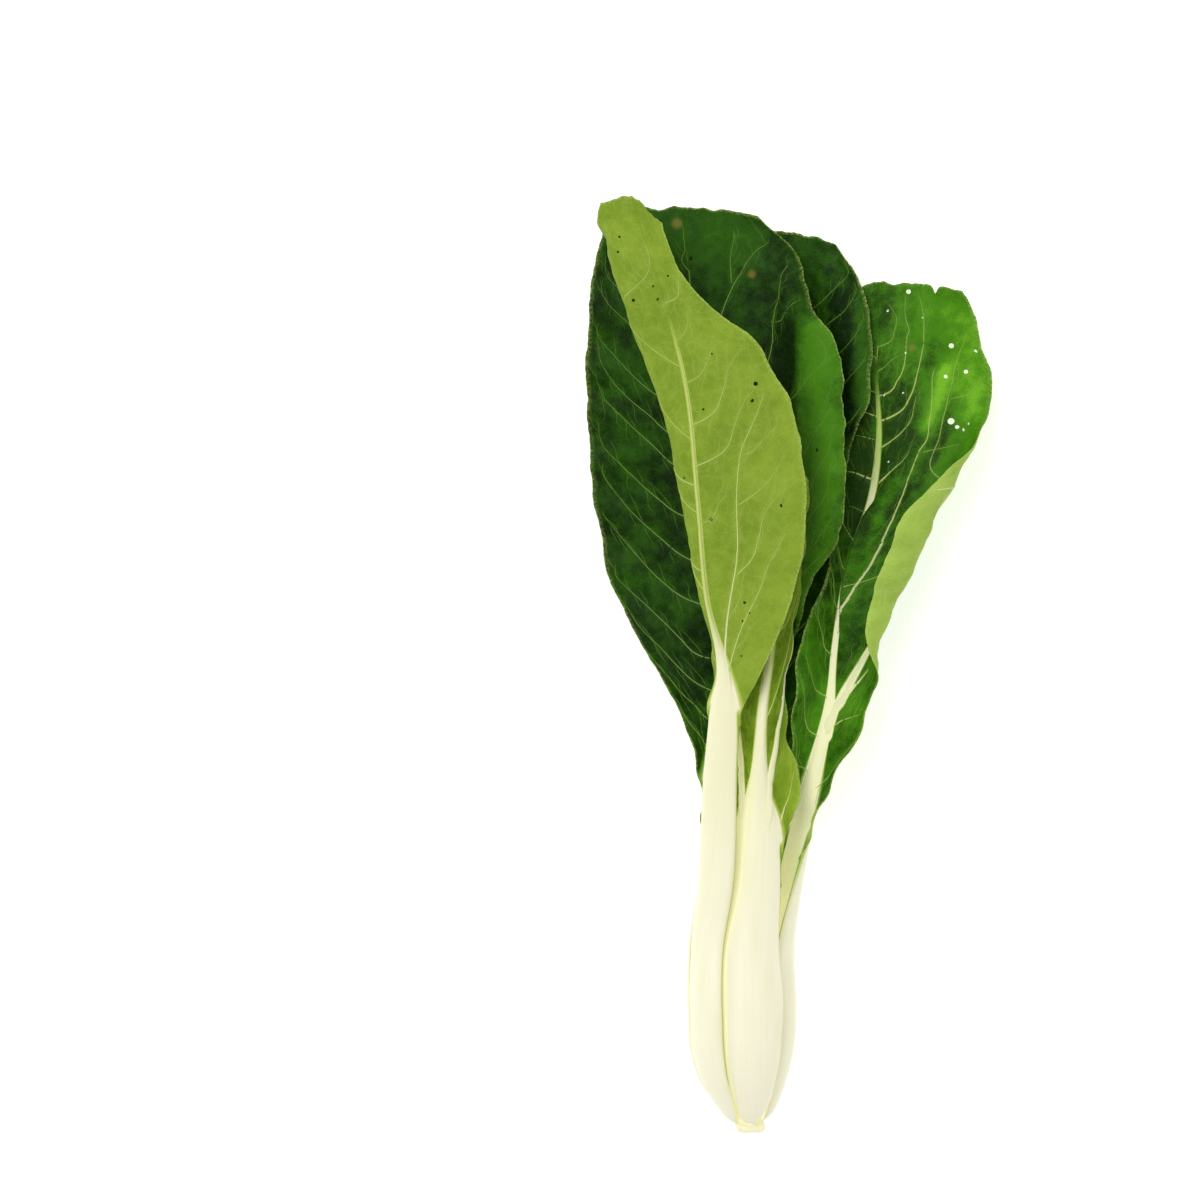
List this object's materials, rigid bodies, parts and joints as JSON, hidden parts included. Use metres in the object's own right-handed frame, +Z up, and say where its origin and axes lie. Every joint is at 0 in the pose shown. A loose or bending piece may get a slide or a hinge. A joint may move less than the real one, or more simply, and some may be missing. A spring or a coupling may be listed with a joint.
{
  "type": "bok choy head",
  "caption": "White-stemmed bok choy head lying on its side, cupped stalks closed in a whorl at the cut base, dark green blades spread, folded and waved at the tips, to cook or lay on a table",
  "frame": {"origin": "the centre of the small flat spot on the underside of the lowest stalk, on the surface that the head lies on", "axes": "+Y runs along the head from the cut base to the leaf tips, +Z up from the surface, +X to the right seen from above with the tips away from the viewer"},
  "size_m": [0.1303, 0.2983, 0.0442],
  "materials": {
    "cut_base": "matte, moist cut flesh",
    "white_stalk": "waxy satin",
    "leaf_underside": "matte, pale veins",
    "leaf_inner_face": "satin gloss",
    "young_leaf": "satin"
  },
  "bodies": {
    "root": {"crown": "cut_base", "stalk_1": "white_stalk", "stalk_2": "white_stalk", "stalk_3": "white_stalk", "stalk_4": "white_stalk", "stalk_5": "white_stalk", "blade_1": "leaf_underside", "blade_2": "leaf_underside", "blade_3": "leaf_inner_face", "blade_4": "leaf_inner_face", "blade_5": "leaf_inner_face", "heart_stalk_1": "white_stalk", "heart_stalk_2": "white_stalk", "heart_stalk_3": "white_stalk", "heart_blade_1": "young_leaf", "heart_blade_2": "young_leaf", "heart_blade_3": "young_leaf"}
  },
  "joints": []
}
